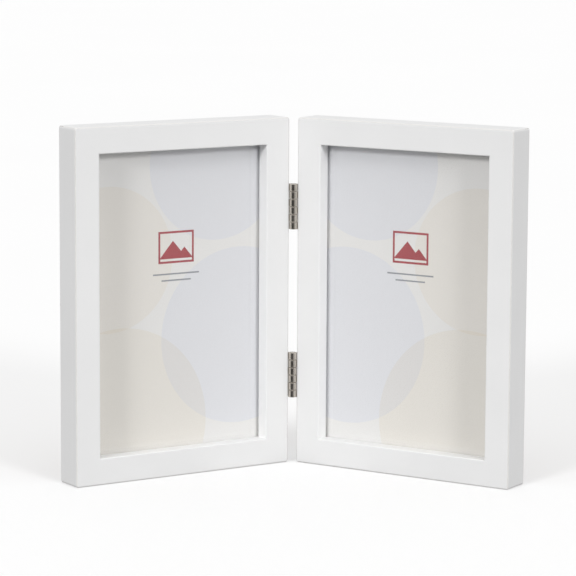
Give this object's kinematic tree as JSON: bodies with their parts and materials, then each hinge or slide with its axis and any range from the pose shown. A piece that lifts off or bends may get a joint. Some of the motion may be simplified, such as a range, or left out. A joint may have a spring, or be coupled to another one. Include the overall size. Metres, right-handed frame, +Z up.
{
  "type": "hinged double photo frame",
  "caption": "Free-standing folding photo frame: mitred white moulding leaves with glass, print pockets and turn-button backs, joined by small butt hinges.",
  "frame": {"origin": "on the floor, under the middle of the frame's box as it stands folded", "axes": "+Z up, +X along the width to the viewer's right, +Y from the open front of the fold to the hinges' back"},
  "size_m": [0.2136, 0.0748, 0.1651],
  "materials": {
    "white_lacquered_wood": "satin",
    "clear_glass": "polished",
    "printed_paper": "satin",
    "corrugated_card": "matte",
    "brown_hardboard": "matte",
    "nickel_plated_steel": "polished",
    "zinc_plated_steel": "satin",
    "bright_steel": "satin"
  },
  "bodies": {
    "left_frame": {"left_backing_board": "brown_hardboard", "left_bottom_rail": "white_lacquered_wood", "left_corner_nails": "bright_steel", "left_filler_card": "corrugated_card", "left_glass": "clear_glass", "left_hinge_screws": "nickel_plated_steel", "left_hinge_stile": "white_lacquered_wood", "left_outer_stile": "white_lacquered_wood", "left_photo_insert": "printed_paper", "left_top_rail": "white_lacquered_wood", "left_turn_screws": "zinc_plated_steel", "lower_hinge_left_plate": "nickel_plated_steel", "lower_hinge_pin": "nickel_plated_steel", "upper_hinge_left_plate": "nickel_plated_steel", "upper_hinge_pin": "nickel_plated_steel"},
    "right_frame": {"lower_hinge_right_plate": "nickel_plated_steel", "right_backing_board": "brown_hardboard", "right_bottom_rail": "white_lacquered_wood", "right_corner_nails": "bright_steel", "right_filler_card": "corrugated_card", "right_glass": "clear_glass", "right_hinge_screws": "nickel_plated_steel", "right_hinge_stile": "white_lacquered_wood", "right_outer_stile": "white_lacquered_wood", "right_photo_insert": "printed_paper", "right_top_rail": "white_lacquered_wood", "right_turn_screws": "zinc_plated_steel", "upper_hinge_right_plate": "nickel_plated_steel"},
    "left_bottom_turn_button": {"left_bottom_turn_button": "zinc_plated_steel"},
    "left_hinge_turn_button": {"left_hinge_turn_button": "zinc_plated_steel"},
    "left_outer_turn_button": {"left_outer_turn_button": "zinc_plated_steel"},
    "left_top_turn_button": {"left_top_turn_button": "zinc_plated_steel"},
    "right_bottom_turn_button": {"right_bottom_turn_button": "zinc_plated_steel"},
    "right_hinge_turn_button": {"right_hinge_turn_button": "zinc_plated_steel"},
    "right_outer_turn_button": {"right_outer_turn_button": "zinc_plated_steel"},
    "right_top_turn_button": {"right_top_turn_button": "zinc_plated_steel"}
  },
  "joints": [
    {"name": "frame_fold", "type": "hinge", "parent": "left_frame", "child": "right_frame", "pos_m": [0, 0.02423, 0.08255], "axis": [0, 0, 1], "range_deg": [-115.4, 74.6]},
    {"name": "left_top_turn", "type": "hinge", "parent": "left_frame", "child": "left_top_turn_button", "pos_m": [-0.0585, 0.00608, 0.16212], "axis": [-0.5344, 0.8453, 0], "range_deg": [-90, 90]},
    {"name": "left_bottom_turn", "type": "hinge", "parent": "left_frame", "child": "left_bottom_turn_button", "pos_m": [-0.0585, 0.00608, 0.00298], "axis": [-0.5344, 0.8453, 0], "range_deg": [-90, 90]},
    {"name": "left_hinge_turn", "type": "hinge", "parent": "left_frame", "child": "left_hinge_turn_button", "pos_m": [-0.01271, 0.03503, 0.08255], "axis": [-0.5344, 0.8453, 0], "range_deg": [-90, 90]},
    {"name": "left_outer_turn", "type": "hinge", "parent": "left_frame", "child": "left_outer_turn_button", "pos_m": [-0.1043, -0.02287, 0.08255], "axis": [-0.5344, 0.8453, 0], "range_deg": [-90, 90]},
    {"name": "right_top_turn", "type": "hinge", "parent": "right_frame", "child": "right_top_turn_button", "pos_m": [0.0585, 0.00608, 0.16212], "axis": [0.5344, 0.8453, 0], "range_deg": [-90, 90]},
    {"name": "right_bottom_turn", "type": "hinge", "parent": "right_frame", "child": "right_bottom_turn_button", "pos_m": [0.0585, 0.00608, 0.00298], "axis": [0.5344, 0.8453, 0], "range_deg": [-90, 90]},
    {"name": "right_hinge_turn", "type": "hinge", "parent": "right_frame", "child": "right_hinge_turn_button", "pos_m": [0.01271, 0.03503, 0.08255], "axis": [0.5344, 0.8453, 0], "range_deg": [-90, 90]},
    {"name": "right_outer_turn", "type": "hinge", "parent": "right_frame", "child": "right_outer_turn_button", "pos_m": [0.1043, -0.02287, 0.08255], "axis": [0.5344, 0.8453, 0], "range_deg": [-90, 90]}
  ]
}
